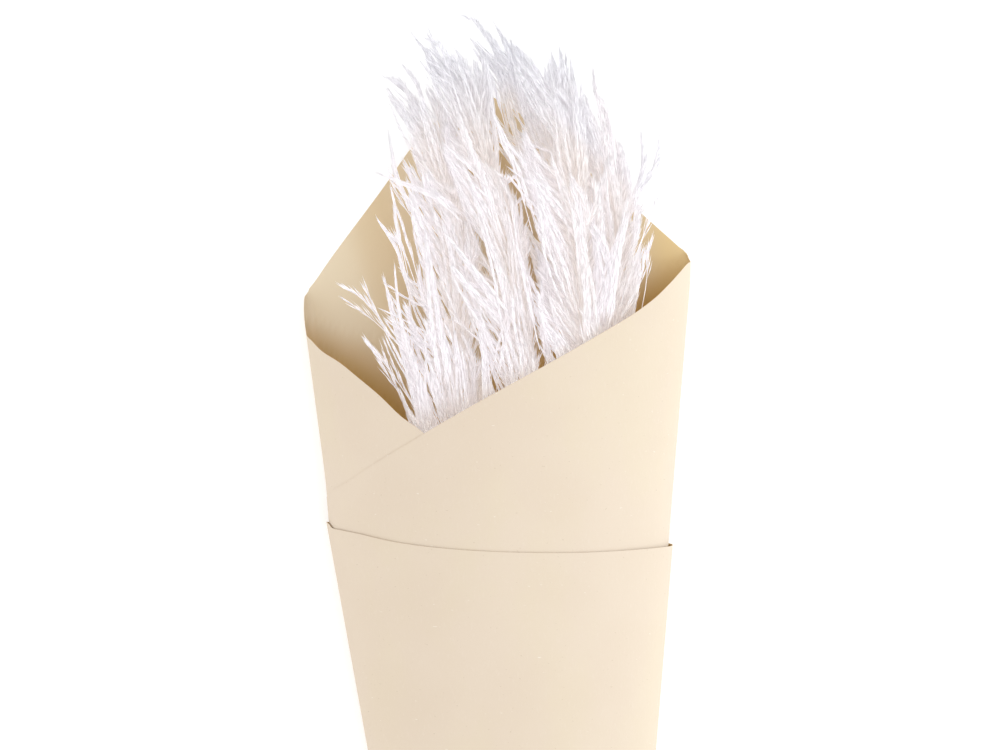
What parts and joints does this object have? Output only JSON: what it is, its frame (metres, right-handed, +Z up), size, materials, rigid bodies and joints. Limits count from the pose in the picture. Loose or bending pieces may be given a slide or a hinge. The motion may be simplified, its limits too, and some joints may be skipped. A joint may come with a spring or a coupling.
{
  "type": "bundle of pampas grass",
  "caption": "Bundle of dried, bleached pampas grass plumes on straw stems, wrapped in a cone of pale kraft paper with a paper sleeve, lying on its flat back.",
  "frame": {"origin": "a point on the flat back of the lower paper, where the bundle rests, below the middle of its front", "axes": "+Y along the bundle towards the plume tips, +X to the right of someone who looks down on the paper's front, +Z up out of the flat back"},
  "size_m": [0.2309, 0.6859, 0.0749],
  "materials": {
    "kraft_paper": "matt pale kraft paper with faint fibres and flecks",
    "plume": "silky bleached white spikelets, slightly see-through",
    "stem": "dry straw-coloured culm, satin",
    "twine": "rough natural fibre twine"
  },
  "bodies": {
    "root": {"upper_wrap": "kraft_paper", "lower_wrap": "kraft_paper", "plume_1": "plume", "plume_2": "plume", "plume_3": "plume", "plume_4": "plume", "plume_5": "plume", "stem_1": "stem", "stem_2": "stem", "stem_3": "stem", "stem_4": "stem", "stem_5": "stem", "stem_tie": "twine"}
  },
  "joints": []
}
